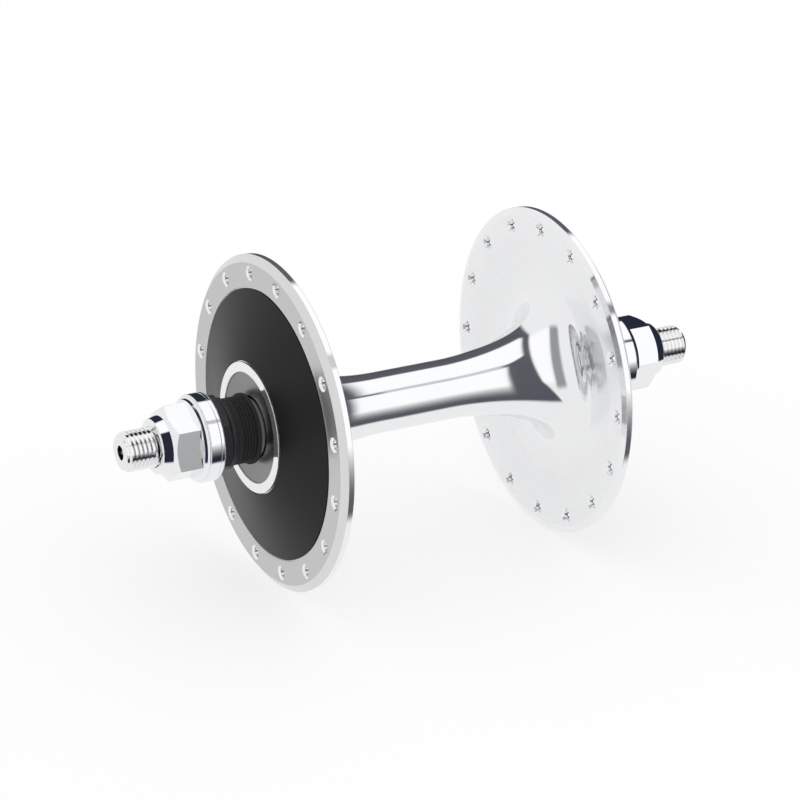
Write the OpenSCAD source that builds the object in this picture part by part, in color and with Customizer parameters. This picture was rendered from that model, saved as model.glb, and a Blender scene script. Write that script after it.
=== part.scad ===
// Bicycle front hub: cup-and-cone bearings, large flanges, threaded axle with nuts.
// Frame: origin at the hub's centre, +Y along the axle to the right side, +Z up, millimetres.
// Every round piece is drawn about Z for the right side, then laid along Y and mirrored.

/* [Overall] */
// Length of the axle
axle_len = 141; // [136:0.5:156]

/* [Axle] */
// Outside diameter of the axle's thread
thread_d = 8.9; // [8.7:0.1:9.1]
// Thread pitch
thread_pitch = 1; // [0.8:0.1:1.2]
// Depth of the thread
thread_depth = 0.55; // [0.4:0.05:0.6]
// Length of the thread at each end
thread_len = 37; // [32:0.5:42]
// Diameter of the plain shank between the threads
shank_d = 8.7; // [8.2:0.1:8.7]
// Radial gap between the thread and the bores that turn on it
thread_gap = 0.05; // [0.02:0.01:0.09]
// Length of the chamfer at each end of the axle
axle_chamfer = 0.8; // [0.5:0.1:1.2]
// Diameter of the centre hole in each end
centre_hole_d = 3.1; // [2.5:0.1:3.4]
// Depth of the centre hole
centre_hole_depth = 5; // [3:0.5:8]
// Diameter of the countersink round the centre hole
centre_csk_d = 4.4; // [4:0.1:5]
// Angle of that countersink
centre_csk_angle = 60; // [60:15:90]

/* [Shell] */
// Distance between the outer faces of the flanges
flange_span = 72; // [64:0.5:78]
// Outside diameter of the flanges
flange_d = 75; // [66:0.5:84]
// Thickness of the flange rim
flange_t = 2.9; // [2.6:0.1:3.2]
// Radial width of the bevel round the flange
bevel_w = 1.6; // [1:0.1:1.8]
// Depth of that bevel on the outer face
bevel_out = 1.2; // [0.6:0.1:1.4]
// Depth of that bevel on the inner face
bevel_in = 0.4; // [0.2:0.1:0.6]
// Radial width of the flat inner land round the flange, with its bevel
land_w = 6.5; // [5.8:0.1:7.2]
// Slope of the dished web between the land and the centre
web_angle = 13.5; // [12.5:0.5:14.5]
// Diameter of the barrel at its waist
barrel_d = 13.6; // [13.4:0.2:14.6]
// Length of the straight waist
waist_len = 16; // [10:1:20]
// Radial rise of the flare from the waist to the web
flare_rise = 12; // [11:0.5:13]
// Diameter of the bore through the barrel
bore_d = 10.6; // [10.2:0.1:11]
// Diameter of the relief behind each cup
relief_d = 18; // [17:0.5:19]
// Length of that relief
relief_len = 1.4; // [1:0.2:2]
// Length of the taper from the relief down to the bore
taper_len = 7; // [6:0.5:8]

/* [Spoke holes] */
// Distance from the flange's edge in to the centres of the spoke holes
spoke_inset = 4; // [3.6:0.1:4.4]
// Spoke holes in each flange
spoke_count = 16; // [14:1:18]
// Diameter of a spoke hole
spoke_hole_d = 2.5; // [2.3:0.1:2.7]
// Diameter of the countersink at both mouths
spoke_csk_d = 3.5; // [3.2:0.1:3.7]
// Depth of the countersink
spoke_csk_depth = 0.5; // [0.3:0.1:0.7]
// Turn of the left flange's first hole
spoke_phase_left = 14.85; // [0:0.05:22.5]
// Turn of the right flange's first hole
spoke_phase_right = 3.6; // [0:0.05:22.5]

/* [Bearings] */
// Ball diameter, three sixteenths of an inch
ball_d = 4.762; // [4.7:0.002:4.8]
// Balls in each bearing
ball_count = 10; // [8:1:10]
// Diameter of the circle through the ball centres
ball_circle_d = 16; // [15.9:0.1:16.4]
// Gap between a ball and its races
race_gap = 0.12; // [0.08:0.01:0.14]
// Wall of the cup outside the balls
cup_wall = 1; // [0.8:0.1:1.1]
// Length of the cup
cup_len = 5.8; // [5.6:0.1:6]
// Floor of the cup under the race
cup_floor = 0.7; // [0.6:0.1:0.8]
// Diameter of the hole through the cup's floor
cup_hole_d = 16.4; // [16:0.2:17]
// Radial gap of the pieces pressed or bonded into the shell
press_gap = 0.02; // [0.01:0.01:0.04]

/* [Dust caps] */
// Radial width of the step from the cup out to the cap
cap_step = 0.9; // [0.7:0.1:1.1]
// Depth of the cap's seat below the shell's end lip
cap_depth = 1.8; // [1.7:0.1:2]
// Thickness of the cap
cap_t = 0.7; // [0.5:0.1:0.8]
// Drop from the shell's end lip to the cap's edge
cap_drop = 0.3; // [0.2:0.05:0.5]
// Dish of the cap from its edge to its hole
cap_dish = 0.6; // [0.4:0.1:0.7]
// Diameter of the hole in the cap
cap_hole_d = 14; // [13.8:0.1:14.4]
// Length of the turned-in collar round that hole
cap_collar = 0.8; // [0.8:0.05:1]

/* [Flange covers] */
// Distance from the flange's edge in to the edge of a cover plate
cover_inset = 7.3; // [6.6:0.1:8.2]
// Thickness of a cover plate along the axle
cover_t = 0.4; // [0.3:0.05:0.6]
// Gap round both edges of a cover plate
cover_gap = 0.25; // [0.15:0.05:0.35]
// Radial width of the shell's end lip
lip_w = 2.2; // [1.8:0.1:2.6]
// Height of the lip's face above the web under the cover
lip_rise = 0.6; // [0.5:0.05:0.8]

/* [Cones and seals] */
// Radial gap between a cone's shoulder and the cap's hole
cone_gap = 0.3; // [0.25:0.05:0.5]
// Length of the cone's nose inside the ball circle
cone_nose = 1.6; // [1.2:0.1:2]
// Diameter of the cone's neck under the seal
neck_d = 11.6; // [11.2:0.1:12]
// Gap between the shell's end lip and the seal
seal_gap = 0.5; // [0.4:0.05:0.8]
// Length of the seal on the cone's neck
seal_len = 5.695; // [5:0.005:7]
// Outside diameter of the seal's ribs and band
seal_d = 14.8; // [14.4:0.1:15.2]
// Diameter of the seal's inner lip
seal_lip_d = 15.8; // [15.2:0.1:16]
// Length of that lip
seal_lip_len = 0.8; // [0.6:0.05:1]
// Number of thin ribs
rib_count = 4; // [3:1:5]
// Distance from rib to rib
rib_pitch = 0.72; // [0.66:0.02:0.78]
// Depth of the grooves between the ribs
rib_depth = 0.4; // [0.2:0.05:0.5]
// Length of the crest of a rib
rib_crest = 0.26; // [0.2:0.02:0.3]

/* [Spacers and locknuts] */
// Outside diameter of the spacer washer
spacer_d = 15.8; // [15:0.1:16]
// Thickness of the spacer washer
spacer_t = 1.1; // [0.8:0.1:1.3]
// Width of the locknut across its flats
locknut_af = 16; // [15:0.5:17]
// Thickness of the locknut
locknut_t = 2.7; // [2.4:0.1:3]
// Diameter of the locknut's flat face inside its chamfer
locknut_face_d = 15.4; // [14.4:0.1:15.8]
// Turn of the locknuts' corners
locknut_phase = 35; // [0:1:59]

// Angle of the chamfer on the hexagons of the locknuts and the axle nuts
chamfer_angle = 30; // [20:1:35]

/* [Axle nuts] */
// Width of the axle nut across its flats
nut_af = 15; // [14:0.5:16]
// Length of the nut from its seat to the end of the hexagon
nut_hex_end = 7.4; // [7:0.1:8]
// Diameter of the flat face inside the hexagon's end chamfer
nut_face_d = 13.4; // [13:0.1:14]
// Diameter of the flange at the nut's seat
nut_flange_d = 18.8; // [18.4:0.1:19.2]
// Length of the flange's cylindrical edge
nut_flange_edge = 0.45; // [0.3:0.05:0.6]
// Length of the flange with its cone
nut_flange_len = 1.2; // [1:0.1:1.5]
// Step from the flange's cone in to the hexagon's corners
nut_ledge = 0.15; // [0.1:0.05:0.4]
// Diameter of the round boss at the nut's outer end
boss_d = 12.4; // [11.6:0.1:12.6]
// Length of the boss
boss_len = 2.2; // [1.6:0.1:2.8]
// Chamfer of the boss
boss_chamfer = 0.5; // [0.3:0.1:0.8]
// Diameter of the spigot that carries the captive washer
spigot_d = 12.2; // [11.8:0.1:12.4]
// Diameter of the rolled lip that holds the washer on
spigot_lip_d = 13.6; // [13.2:0.1:13.8]
// Length of that lip
spigot_lip_len = 0.5; // [0.4:0.05:0.6]
// Gap from the spigot's end to the locknut
spigot_gap = 0.4; // [0.3:0.05:0.5]
// Turn of the left nut's corners
nut_phase_left = 37; // [0:1:59]
// Turn of the right nut's corners
nut_phase_right = 4; // [0:1:59]

/* [Captive washers] */
// Outside diameter of the washer
washer_d = 19.5; // [19.2:0.1:20]
// Thickness of the washer
washer_t = 3.5; // [3:0.1:4]
// Edge chamfer of the washer
washer_chamfer = 0.2; // [0.1:0.05:0.4]
// Distance of the turned groove from the washer's inner face
groove_at = 1; // [0.8:0.1:1.4]
// Width and depth of that groove
groove_w = 0.16; // [0.1:0.02:0.24]
// Radial gap between the washer and the nut's spigot
washer_gap = 0.2; // [0.1:0.05:0.3]
// Gap between the rolled lip and the washer's recess
recess_gap = 0.3; // [0.2:0.05:0.5]

/* [Hidden] */
SIDES = ["left", "right"];
$fn = 96;
arc_steps = 16;
flare_steps = 32;
overshoot = 1;

thread_r = thread_d / 2;
bore_r = thread_r + thread_gap;
web_slope = tan(web_angle);

// Flange and web
face_out = flange_span / 2;
face_in = face_out - flange_t;
rim_r = flange_d / 2;
bevel_r = rim_r - bevel_w;
land_r = rim_r - land_w;
spoke_r = rim_r - spoke_inset;
cover_r = rim_r - cover_inset;
pocket_r = cover_r + cover_gap;

// Bearing radii, from the balls outwards
pitch_r = ball_circle_d / 2;
race_r = ball_d / 2 + race_gap;
cup_bore_r = pitch_r + race_r;
cup_r = cup_bore_r + cup_wall;
cap_r = cup_r + cap_step;
lip_r = cap_r + lip_w;
cap_hole_r = cap_hole_d / 2;
shoulder_r = cap_hole_r - cone_gap;

// Stations along the axle, from the shell's end lip inwards
web_top = face_out - cover_t + (pocket_r - lip_r) * web_slope;
lip_y = web_top + lip_rise;
cup_top = lip_y - cap_depth;
cup_seat = cup_top - cup_len;
ball_y = cup_seat + cup_floor + race_r;
cap_edge_y = lip_y - cap_drop;
cap_hole_y = cap_edge_y - cap_dish;

// Stations along the axle, from the shell's end lip out to the locknut's face, which is
// half the space between the fork ends
seal_y = lip_y + seal_gap;
cone_end = seal_y + seal_len;
spacer_y = cone_end + spacer_t;
locknut_y = spacer_y + locknut_t;

// Flare: an ellipse that leaves the waist and touches the inner face of the web
barrel_r = barrel_d / 2;
flare_r = barrel_r + flare_rise;
flare_y = waist_len / 2;
web_line = face_in + land_r * web_slope - flare_y - flare_r * web_slope;
flare_len = sqrt(pow(web_line, 2) - pow(web_slope * flare_rise, 2));
flare_end = acos(-web_slope * flare_rise / web_line);

// Axle nut
nut_y = locknut_y + washer_t;
hex_base = nut_y + nut_flange_len;
hex_end = nut_y + nut_hex_end;
boss_r = boss_d / 2;
boss_end = hex_end + boss_len;
spigot_end = locknut_y + spigot_gap;
hex_chamfer = tan(chamfer_angle);

// Radius of a hexagon's corners from its width across flats
function corner_r(af) = af / 2 / cos(30);

// Points on a circle from angle a to angle b
function arc(cx, cy, r, a, b) =
    [for (i = [0:arc_steps])
        let (t = a + (b - a) * i / arc_steps) [cx + r * cos(t), cy + r * sin(t)]];

// The same outline on the other side of the hub's middle, in reverse order
function mirrored(points) =
    [for (i = [len(points) - 1:-1:0]) [points[i][0], -points[i][1]]];

// Lays a piece that was drawn about Z along the axle, on the right or the left
module on_axle(side = "right") {
    mirror([0, side == "left" ? 1 : 0, 0])
        rotate([-90, 0, 0])
            children();
}

module turned(points) {
    rotate_extrude()
        polygon(points);
}

// A hexagon whose first corner stands at the given turn about the axle
module hexagon(af, y0, y1, phase) {
    translate([0, 0, y0])
        rotate([0, 0, -phase])
            cylinder(r = corner_r(af), h = y1 - y0, $fn = 6);
}

// One end of the axle, from the start of its thread to the middle of its end. The
// thread has the usual form: a crest of an eighth of the pitch and flanks of five
// sixteenths each.
function axle_end() =
    let (
        y1 = axle_len / 2,
        y0 = y1 - thread_len,
        turns = floor((thread_len - axle_chamfer) / thread_pitch) - 1,
        root_r = thread_r - thread_depth,
        slope = thread_pitch * 5 / 16,
        crest = thread_pitch / 8,
        hole_r = centre_hole_d / 2
    )
    concat(
        [[shank_d / 2, y0], [thread_r, y0]],
        [for (i = [1:turns])
            for (p = [[thread_r, 0], [thread_r, crest], [root_r, crest + slope],
                [root_r, thread_pitch - slope]])
                [p[0], y0 + i * thread_pitch + p[1]]],
        [[thread_r, y0 + (turns + 1) * thread_pitch],
            [thread_r, y1 - axle_chamfer],
            [thread_r - axle_chamfer, y1],
            [centre_csk_d / 2, y1],
            [hole_r, y1 - (centre_csk_d / 2 - hole_r) / tan(centre_csk_angle / 2)],
            [hole_r, y1 - centre_hole_depth],
            [0, y1 - centre_hole_depth - hole_r]]
    );

module axle() {
    half = axle_end();
    color("lightgray")
        on_axle()
            turned(concat(half, mirrored(half)));
}

// Right half of the shell's section, from the waist round the flange to the bore
function shell_half() =
    concat(
        [for (i = [0:flare_steps])
            let (t = flare_end * i / flare_steps)
                [flare_r - flare_rise * cos(t), flare_y + flare_len * sin(t)]],
        [[land_r, face_in],
            [bevel_r, face_in],
            [rim_r, face_in + bevel_in],
            [rim_r, face_out - bevel_out],
            [bevel_r, face_out],
            [pocket_r, face_out],
            [pocket_r, face_out - cover_t],
            [lip_r, web_top],
            [lip_r, lip_y],
            [cap_r, lip_y],
            [cap_r, cup_top],
            [cup_r, cup_top],
            [cup_r, cup_seat],
            [relief_d / 2, cup_seat],
            [relief_d / 2, cup_seat - relief_len],
            [bore_d / 2, cup_seat - relief_len - taper_len]]
    );

module spoke_holes(phase) {
    csk_r = spoke_csk_d / 2;
    hole_r = spoke_hole_d / 2;
    for (i = [0:spoke_count - 1])
        rotate([0, 0, -(phase + i * 360 / spoke_count)])
            translate([spoke_r, 0, 0])
                turned([[0, face_in - overshoot], [csk_r, face_in - overshoot],
                    [csk_r, face_in], [hole_r, face_in + spoke_csk_depth],
                    [hole_r, face_out - spoke_csk_depth], [csk_r, face_out],
                    [csk_r, face_out + overshoot], [0, face_out + overshoot]], $fn = 32);
}

module hub_shell() {
    half = shell_half();
    color("gainsboro")
        difference() {
            on_axle()
                turned(concat(half, mirrored(half)));
            on_axle("left")
                spoke_holes(spoke_phase_left);
            on_axle("right")
                spoke_holes(spoke_phase_right);
        }
}

module bearing_cup(side) {
    outer_r = cup_r - press_gap;
    hole_r = cup_hole_d / 2;
    color("silver")
        on_axle(side)
            turned(concat(
                arc(pitch_r, ball_y, race_r, 0, -acos((hole_r - pitch_r) / race_r)),
                [[hole_r, cup_seat], [outer_r, cup_seat], [outer_r, cup_top],
                    [cup_bore_r, cup_top]]));
}

module ball_set(side) {
    color("whitesmoke")
        on_axle(side)
            for (i = [0:ball_count - 1])
                rotate([0, 0, i * 360 / ball_count])
                    translate([pitch_r, 0, ball_y])
                        sphere(d = ball_d, $fn = 48);
}

module cone(side) {
    nose_r = pitch_r - race_r;
    color("dimgray")
        on_axle(side)
            turned(concat(
                [[bore_r, ball_y - cone_nose], [nose_r, ball_y - cone_nose]],
                arc(pitch_r, ball_y, race_r, 180, acos((shoulder_r - pitch_r) / race_r)),
                [[shoulder_r, seal_y], [neck_d / 2, seal_y],
                    [neck_d / 2, cone_end], [bore_r, cone_end]]));
}

module dust_cap(side) {
    outer_r = cap_r - press_gap;
    collar_y = cap_hole_y - cap_collar;
    collar_r = cap_hole_r + cap_t;
    skirt_r = outer_r - cap_t;
    dish_slope = cap_dish / (outer_r - cap_hole_r);
    color("gray")
        on_axle(side)
            turned([[outer_r, cup_top], [outer_r, cap_edge_y], [cap_hole_r, cap_hole_y],
                [cap_hole_r, collar_y], [collar_r, collar_y],
                [collar_r, cap_hole_y + cap_t * dish_slope - cap_t],
                [skirt_r, cap_edge_y - cap_t * dish_slope - cap_t],
                [skirt_r, cup_top]]);
}

module flange_cover(side) {
    inner_r = lip_r + cover_gap;
    base = face_out - cover_t + (pocket_r - cover_r) * web_slope;
    rise = (cover_r - inner_r) * web_slope;
    color([0.15, 0.15, 0.16])
        on_axle(side)
            turned([[cover_r, base], [cover_r, base + cover_t],
                [inner_r, base + rise + cover_t], [inner_r, base + rise]]);
}

// Ribbed rubber seal on the cone's neck: inner lip, thin ribs, then a wide band
module seal(side) {
    seal_r = seal_d / 2;
    root_r = seal_r - rib_depth;
    lip = seal_lip_d / 2;
    rib_y = seal_y + seal_lip_len;
    slope = rib_pitch / 12;
    floor_len = rib_pitch - rib_crest - 2 * slope;
    band_y = rib_y + rib_count * rib_pitch + floor_len;
    color([0.08, 0.08, 0.08])
        on_axle(side)
            turned(concat(
                [[neck_d / 2 + press_gap, seal_y], [lip - slope, seal_y],
                    [lip, seal_y + slope], [lip, rib_y - slope], [root_r, rib_y]],
                [for (i = [0:rib_count - 1])
                    for (p = [[root_r, floor_len], [seal_r, floor_len + slope],
                        [seal_r, floor_len + slope + rib_crest], [root_r, rib_pitch]])
                        [p[0], rib_y + i * rib_pitch + p[1]]],
                [[root_r, band_y], [seal_r, band_y + slope], [seal_r, cone_end],
                    [neck_d / 2 + press_gap, cone_end]]));
}

module spacer_washer(side) {
    color([0.12, 0.12, 0.12])
        on_axle(side)
            turned([[bore_r, cone_end], [spacer_d / 2, cone_end],
                [spacer_d / 2, spacer_y], [bore_r, spacer_y]]);
}

module locknut(side) {
    face_r = locknut_face_d / 2;
    cut_r = corner_r(locknut_af) + overshoot;
    color([0.15, 0.15, 0.17])
        on_axle(side)
            difference() {
                intersection() {
                    hexagon(locknut_af, spacer_y, locknut_y, locknut_phase);
                    turned([[0, spacer_y], [face_r, spacer_y],
                        [cut_r, spacer_y + (cut_r - face_r) * hex_chamfer],
                        [cut_r, locknut_y], [0, locknut_y]]);
                }
                translate([0, 0, spacer_y - overshoot])
                    cylinder(r = bore_r, h = locknut_t + 2 * overshoot);
            }
}

// Thick washer that stays on the nut and turns freely on its spigot
module nut_washer(side) {
    r = washer_d / 2;
    hole_r = spigot_d / 2 + washer_gap;
    recess_r = spigot_lip_d / 2 + recess_gap;
    recess_y = spigot_end + spigot_lip_len + recess_gap;
    groove_y = locknut_y + groove_at;
    color("white")
        on_axle(side)
            turned([[recess_r, locknut_y], [r - washer_chamfer, locknut_y],
                [r, locknut_y + washer_chamfer], [r, groove_y - groove_w / 2],
                [r - groove_w, groove_y], [r, groove_y + groove_w / 2],
                [r, nut_y - washer_chamfer], [r - washer_chamfer, nut_y],
                [hole_r, nut_y], [hole_r, recess_y], [recess_r, recess_y]]);
}

module axle_nut(side) {
    cone_r = corner_r(nut_af) + nut_ledge;
    cut_r = corner_r(nut_af) + overshoot;
    face_r = nut_face_d / 2;
    phase = side == "left" ? nut_phase_left : nut_phase_right;
    color("white")
        on_axle(side)
            difference() {
                union() {
                    turned([[0, spigot_end], [spigot_lip_d / 2, spigot_end],
                        [spigot_lip_d / 2, spigot_end + spigot_lip_len],
                        [spigot_d / 2, spigot_end + spigot_lip_len],
                        [spigot_d / 2, nut_y], [nut_flange_d / 2, nut_y],
                        [nut_flange_d / 2, nut_y + nut_flange_edge],
                        [cone_r, hex_base], [boss_r, hex_base],
                        [boss_r, boss_end - boss_chamfer],
                        [boss_r - boss_chamfer, boss_end], [0, boss_end]]);
                    intersection() {
                        hexagon(nut_af, nut_y + nut_flange_edge, hex_end, phase);
                        turned([[0, nut_y], [cut_r, nut_y],
                            [cut_r, hex_end - (cut_r - face_r) * hex_chamfer],
                            [face_r, hex_end], [0, hex_end]]);
                    }
                }
                translate([0, 0, spigot_end - overshoot])
                    cylinder(r = bore_r, h = boss_end - spigot_end + 2 * overshoot);
            }
}

axle();
hub_shell();
for (side = SIDES) {
    bearing_cup(side);
    ball_set(side);
    cone(side);
    dust_cap(side);
    flange_cover(side);
    seal(side);
    spacer_washer(side);
    locknut(side);
    nut_washer(side);
    axle_nut(side);
}
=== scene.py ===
"""Bicycle front hub: the looks of every piece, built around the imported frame.

Y runs along the axle, Z is up, and lengths are in metres. A round piece is an outline of
(radius, station) corners, spun about Y. The station is the distance from the hub's middle,
so the same outline serves both ends.
"""

import math

import bmesh
import bpy
from mathutils import Euler, Matrix, Vector


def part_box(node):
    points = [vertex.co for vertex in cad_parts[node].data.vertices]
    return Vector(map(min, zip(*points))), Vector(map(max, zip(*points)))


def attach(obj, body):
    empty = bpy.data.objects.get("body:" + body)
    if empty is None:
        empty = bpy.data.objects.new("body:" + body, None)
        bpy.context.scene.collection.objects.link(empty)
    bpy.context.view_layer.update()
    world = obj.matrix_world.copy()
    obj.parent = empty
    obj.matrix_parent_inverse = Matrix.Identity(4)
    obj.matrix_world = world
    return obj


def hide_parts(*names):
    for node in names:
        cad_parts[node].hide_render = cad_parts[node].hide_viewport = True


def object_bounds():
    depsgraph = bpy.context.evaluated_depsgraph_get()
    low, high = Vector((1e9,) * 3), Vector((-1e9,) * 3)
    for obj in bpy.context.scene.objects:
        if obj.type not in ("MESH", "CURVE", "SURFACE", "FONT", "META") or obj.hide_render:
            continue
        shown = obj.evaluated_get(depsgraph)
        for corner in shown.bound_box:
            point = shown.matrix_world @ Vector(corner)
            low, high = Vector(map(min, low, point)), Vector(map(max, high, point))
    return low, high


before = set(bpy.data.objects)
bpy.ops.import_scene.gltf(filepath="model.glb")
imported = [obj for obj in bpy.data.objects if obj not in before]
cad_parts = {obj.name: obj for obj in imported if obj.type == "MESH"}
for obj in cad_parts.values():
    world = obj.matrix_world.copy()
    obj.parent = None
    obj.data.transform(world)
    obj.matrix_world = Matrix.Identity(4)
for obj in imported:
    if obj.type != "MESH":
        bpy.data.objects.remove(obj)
CAD_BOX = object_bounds()

bl_info = {
    "name": "Bicycle front hub",
    "version": (1, 0, 0),
    "blender": (4, 5, 0),
    "location": "3D View > Sidebar > Front hub",
    "description": "Builds the pieces, finishes and studio of a bicycle front hub",
    "category": "Add Mesh",
}

SIDES = {"left": -1, "right": 1}

# How finely round pieces are cut
ROUND_STEPS = 192
SMALL_STEPS = 96
HOLE_STEPS = 32
FILLET_STEPS = 4
FLARE_STEPS = 64
THREAD_STEPS = 48
# Faces that meet at more than these angles keep a sharp edge, and get a small bevel
SHARP_ANGLE = math.radians(32)
SOFTENED_ANGLE = math.radians(20)
# From corner to corner of a hexagon
SIXTH = math.radians(60)
# Points closer than this are one point
TINY = 1e-7
# How far a cutting shape reaches past what it cuts
CLEARANCE = 0.001
# The most of a side that a fillet takes, so that two of them never meet
SHARE_OF_SIDE = 0.49

# The camera's sensor, in millimetres, and the floor, in metres
SENSOR_WIDTH = 36
FLOOR_HALF_WIDTH = 3.0
FLOOR_GAP = 0.0002
WHITE = (1, 1, 1)


def reach(node):
    """How far a node reaches from the hub's middle along the axle."""
    low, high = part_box(node)
    return max(-low.y, high.y)


def start(node):
    """Where a right-hand node starts along the axle."""
    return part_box(node)[0].y


def radius(node):
    """The outside radius of a round node."""
    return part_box(node)[1].x


def corner_radius(flats):
    """The radius to the corners of a hexagon of a width across its flats."""
    return flats / 2 / math.cos(SIXTH / 2)


def phase_of(sizes, side):
    """The turn at which a side's first hole or corner stands."""
    return sizes.left_phase if side == "left" else sizes.right_phase


def length(name, description, default):
    """A length that a user may change."""
    return bpy.props.FloatProperty(
        name=name, description=description, default=default, unit="LENGTH", precision=5
    )


def turn(name, description, degrees):
    """An angle that a user may change."""
    return bpy.props.FloatProperty(
        name=name, description=description, default=math.radians(degrees), subtype="ANGLE"
    )


def share(name, description, default):
    """A share from nothing to all."""
    return bpy.props.FloatProperty(
        name=name, description=description, default=default, min=0, max=1, subtype="FACTOR"
    )


def colour(name, description, default):
    """A colour, in linear light."""
    return bpy.props.FloatVectorProperty(
        name=name, description=description, default=default, size=3, min=0, max=1,
        subtype="COLOR",
    )


class ShellSizes(bpy.types.PropertyGroup):
    """Sizes of the hub shell, the covers and the dust caps."""

    barrel_radius: length("Barrel radius", "Radius of the barrel at its waist", 0.0068)
    waist: length("Waist", "Length of the straight waist", 0.016)
    flare_rise: length("Flare rise", "Radial rise of the flare from waist to web", 0.012)
    web_angle: turn("Web angle", "Slope of the dished web", 13.5)
    flange_span: length("Flange span", "Distance between the flanges' outer faces", 0.072)
    flange_thickness: length("Flange thickness", "Thickness of the rim", 0.0029)
    bevel_width: length("Bevel width", "Radial width of the rim's bevels", 0.0016)
    bevel_outside: length("Outer bevel", "Depth of the outer bevel", 0.0012)
    bevel_inside: length("Inner bevel", "Depth of the inner bevel", 0.0004)
    land_radius: length("Land radius", "Inner radius of the land behind the holes", 0.031)
    land_blend: length("Land blend", "Radius that blends the web into that land", 0.008)
    edge: length("Edge rounding", "Rounding of turned edges", 0.00012)
    cover_thickness: length("Cover thickness", "Thickness of the flange covers", 0.0004)
    cover_gap: length("Cover gap", "Gap round a cover's edges", 0.00025)
    lip_width: length("Lip width", "Radial width of the shell's end lip", 0.0022)
    lip_rise: length("Lip rise", "Height of the lip above the web", 0.0006)
    cap_thickness: length("Cap thickness", "Thickness of a dust cap", 0.0007)
    cap_drop: length("Cap drop", "Drop from the lip to the cap's edge", 0.0003)
    cap_dish: length("Cap dish", "Dish of the cap towards its hole", 0.0006)
    cap_hole: length("Cap hole", "Radius of the cap's hole", 0.007)
    cap_collar: length("Cap collar", "Length of the collar round that hole", 0.0008)
    cap_seat: length("Cap seat", "Depth of the cap's seat below the lip", 0.0018)
    cup_radius: length("Cup radius", "Radius of the bore that holds a cup", 0.0115)
    cup_length: length("Cup length", "Length of that bore", 0.0058)
    relief_radius: length("Relief radius", "Radius of the relief behind a cup", 0.009)
    relief_length: length("Relief length", "Length of that relief", 0.0014)
    bore_radius: length("Bore radius", "Radius of the bore through the barrel", 0.0053)
    bore_taper: length("Bore taper", "Length of the taper down to that bore", 0.007)
    hole_circle: length("Hole circle", "Radius of the circle of spoke holes", 0.0335)
    hole_count: bpy.props.IntProperty(
        name="Spoke holes", description="Spoke holes in each flange", default=16, min=1
    )
    hole_radius: length("Hole radius", "Radius of a spoke hole", 0.00125)
    sink_radius: length("Countersink radius", "Radius of its countersink", 0.00175)
    sink_depth: length("Countersink depth", "Depth of its countersink", 0.0005)
    web_starts: length("Web start", "Radius where the webs' duller finish starts", 0.017)
    web_whole: length("Web whole", "Radius from which it is whole", 0.027)
    left_phase: turn("Left holes", "Turn of the left flange's first hole", 14.85)
    right_phase: turn("Right holes", "Turn of the right flange's first hole", 3.6)


class AxleSizes(bpy.types.PropertyGroup):
    """Sizes of the axle and of what is screwed on it."""

    pitch: length("Pitch", "Pitch of the thread", 0.001)
    thread_depth: length("Thread depth", "Depth of the thread", 0.0006)
    thread_length: length("Thread length", "Length of the thread at each end", 0.037)
    shank_radius: length("Shank radius", "Radius of the plain shank", 0.00435)
    end_chamfer: length("End chamfer", "Chamfer at each end of the axle", 0.0008)
    centre_radius: length("Centre hole", "Radius of the centre hole", 0.00155)
    centre_depth: length("Centre depth", "Depth of the centre hole", 0.005)
    centre_sink: length("Centre countersink", "Radius of its countersink", 0.00165)
    sink_angle: turn("Countersink angle", "Slope of its countersink to the axle", 30)
    bore: length("Nut bore", "Radius of the bores that sit on the thread", 0.0045)
    edge: length("Edge rounding", "Rounding of the edges of nuts and washers", 0.00015)
    chamfer_angle: turn("Chamfer angle", "Angle of the hexagons' chamfers", 30)
    locknut_flats: length("Locknut flats", "Width of a locknut across its flats", 0.016)
    locknut_face: length("Locknut face", "Radius of its flat inner face", 0.0077)
    locknut_phase: turn("Locknut turn", "Turn of the locknuts' corners", 35)
    nut_flats: length("Nut flats", "Width of an axle nut across its flats", 0.015)
    nut_hexagon: length("Nut hexagon", "Distance from seat to hexagon's end", 0.0074)
    nut_face: length("Nut face", "Radius of the flat face round the boss", 0.0067)
    nut_edge: length("Nut flange edge", "Length of the flange's edge", 0.00015)
    nut_bevel: length("Nut flange bevel", "Distance from seat to the bevel's end", 0.00045)
    nut_collar: length("Nut collar", "Distance from seat to the hexagon's foot", 0.0011)
    collar_ledge: length("Collar ledge", "Step from the corners out to the collar", 0.00012)
    collar_angle: turn("Collar angle", "Taper of the collar", 15)
    boss_radius: length("Boss radius", "Radius of the nut's boss where it starts", 0.0066)
    boss_angle: turn("Boss angle", "Taper of the boss", 14)
    boss_chamfer: length("Boss chamfer", "Chamfer of the boss", 0.0002)
    spigot_radius: length("Spigot radius", "Radius of the washer's spigot", 0.0061)
    left_phase: turn("Left nut", "Turn of the left nut's corners", 37)
    right_phase: turn("Right nut", "Turn of the right nut's corners", 4)
    washer_hole: length("Washer hole", "Radius of the captive washer's hole", 0.0063)
    washer_recess: length("Washer recess", "Radius of its recess", 0.0071)
    recess_depth: length("Recess depth", "Depth of its recess", 0.0012)
    groove_at: length("Groove place", "Groove's distance from the inner face", 0.001)
    groove_width: length("Groove width", "Width and depth of the groove", 0.00018)
    seal_radius: length("Seal radius", "Radius of the seal's ribs and band", 0.0074)
    seal_bore: length("Seal bore", "Radius of the neck inside the seal", 0.00582)
    lip_length: length("Seal lip", "Length of the seal's inner lip", 0.0008)
    rib_count: bpy.props.IntProperty(
        name="Ribs", description="Thin ribs on each seal", default=4, min=1
    )
    rib_pitch: length("Rib pitch", "Distance from rib to rib", 0.00072)
    rib_depth: length("Rib depth", "Depth of the grooves between ribs", 0.0004)
    rib_crest: length("Rib crest", "Length of a rib's crest", 0.00026)


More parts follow.
